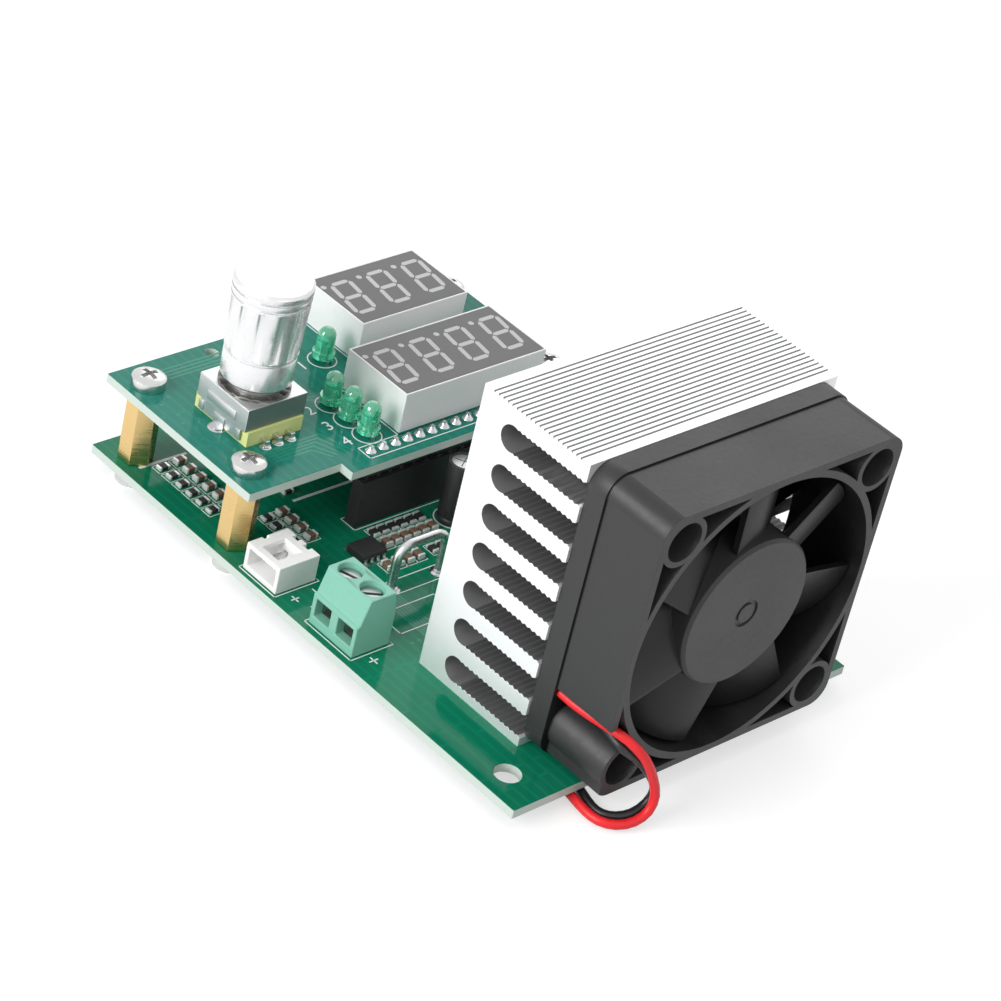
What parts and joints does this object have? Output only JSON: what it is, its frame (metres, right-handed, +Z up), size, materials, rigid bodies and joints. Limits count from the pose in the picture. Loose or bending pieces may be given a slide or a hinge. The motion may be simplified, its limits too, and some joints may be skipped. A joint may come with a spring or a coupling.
{
  "type": "dc electronic load",
  "caption": "Open-board electronic load: display board on spacers with a rotary knob, above a main board that carries wire terminals, a finned heat sink and a cooling fan.",
  "frame": {"origin": "on the resting surface, under the middle of the object's length and width, leads left out", "axes": "+X from the knob end to the fan end, +Y away from the wire terminals, +Z up"},
  "size_m": [0.1092, 0.0706, 0.0543],
  "materials": {
    "board_green": "glossy solder mask",
    "spacer_brass": "turned",
    "screw_steel": "zinc plated",
    "sink_aluminium": "extruded",
    "black_epoxy": "moulded",
    "tinned_metal": "tinned",
    "grey_pad": "matt",
    "fan_plastic": "satin moulding",
    "rotor_plastic": "satin moulding",
    "magnet_ferrite": "sintered",
    "stator_copper": "wound",
    "wire_red": "satin sleeve",
    "wire_black": "satin sleeve",
    "display_white": "moulded",
    "display_grey": "printed face",
    "segment_pale": "translucent filling",
    "lamp_green": "translucent",
    "encoder_yellow": "moulded",
    "cover_steel": "pressed sheet",
    "knob_chrome": "plated",
    "terminal_green": "moulded",
    "socket_white": "moulded",
    "ceramic_tan": "ceramic"
  },
  "bodies": {
    "chassis": {"main_board": "board_green", "display_board": "board_green", "standoffs": "spacer_brass", "display_screws": "screw_steel", "base_screws": "screw_steel", "sink_screws": "screw_steel", "heat_sink": "sink_aluminium", "power_transistor": "black_epoxy", "transistor_leads": "tinned_metal", "transistor_pad": "grey_pad", "transistor_screw": "screw_steel", "fan_frame": "fan_plastic", "fan_bearing": "spacer_brass", "fan_stator": "stator_copper", "fan_circuit": "board_green", "fan_screws": "screw_steel", "fan_lead_red": "wire_red", "fan_lead_black": "wire_black", "lead_pads": "tinned_metal", "four_digit_display": "display_white", "three_digit_display": "display_white", "display_faces": "display_grey", "digit_segments": "segment_pale", "display_pins": "tinned_metal", "lamp_lenses": "lamp_green", "lamp_leads": "tinned_metal", "encoder_base": "encoder_yellow", "encoder_cover": "cover_steel", "encoder_bushing": "cover_steel", "encoder_pins": "tinned_metal", "link_socket": "black_epoxy", "link_header": "black_epoxy", "link_pins": "tinned_metal", "terminal_block": "terminal_green", "terminal_cages": "tinned_metal", "sense_socket": "socket_white", "sense_pins": "tinned_metal", "shunt_wire": "tinned_metal", "filter_capacitor": "black_epoxy", "amplifier_chip": "black_epoxy", "controller_chip": "black_epoxy", "chip_leads": "tinned_metal", "chip_resistors": "black_epoxy", "chip_capacitors": "ceramic_tan", "chip_ends": "tinned_metal"},
    "rotor": {"fan_rotor": "rotor_plastic", "fan_magnet": "magnet_ferrite", "fan_shaft": "screw_steel"},
    "push_switch": {"push_plunger": "socket_white"},
    "dial": {"encoder_shaft": "cover_steel", "knob": "knob_chrome"},
    "clamp_a": {"clamp_leaf_a": "spacer_brass"},
    "clamp_b": {"clamp_leaf_b": "spacer_brass"},
    "screw_a": {"clamp_screw_a": "screw_steel"},
    "screw_b": {"clamp_screw_b": "screw_steel"}
  },
  "joints": [
    {"name": "fan_spin", "type": "hinge", "parent": "chassis", "child": "rotor", "pos_m": [0.0445, 0.00055, 0.0292], "axis": [1, 0, 0], "continuous": true},
    {"name": "knob_push", "type": "slide", "parent": "chassis", "child": "push_switch", "axis": [0, 0, -1], "range_m": [0, 0.0005], "stiffness_N_per_m": 4000},
    {"name": "knob_turn", "type": "hinge", "parent": "push_switch", "child": "dial", "pos_m": [-0.0324, -0.0224, 0.03], "axis": [0, 0, 1], "continuous": true},
    {"name": "clamp_a_travel", "type": "slide", "parent": "chassis", "child": "clamp_a", "axis": [0, 0, -1], "range_m": [0, 0.00175]},
    {"name": "clamp_a_turn", "type": "hinge", "parent": "clamp_a", "child": "screw_a", "pos_m": [0.0019, -0.02952, 0.012], "axis": [0, 0, -1], "range_deg": [0, 1260]},
    {"name": "clamp_b_travel", "type": "slide", "parent": "chassis", "child": "clamp_b", "axis": [0, 0, -1], "range_m": [0, 0.00175]},
    {"name": "clamp_b_turn", "type": "hinge", "parent": "clamp_b", "child": "screw_b", "pos_m": [0.0069, -0.02952, 0.012], "axis": [0, 0, -1], "range_deg": [0, 1260]}
  ],
  "couplings": [
    {"joint": "clamp_a_turn", "follows": "clamp_a_travel", "rad_per_m": 12566},
    {"joint": "clamp_b_turn", "follows": "clamp_b_travel", "rad_per_m": 12566}
  ]
}
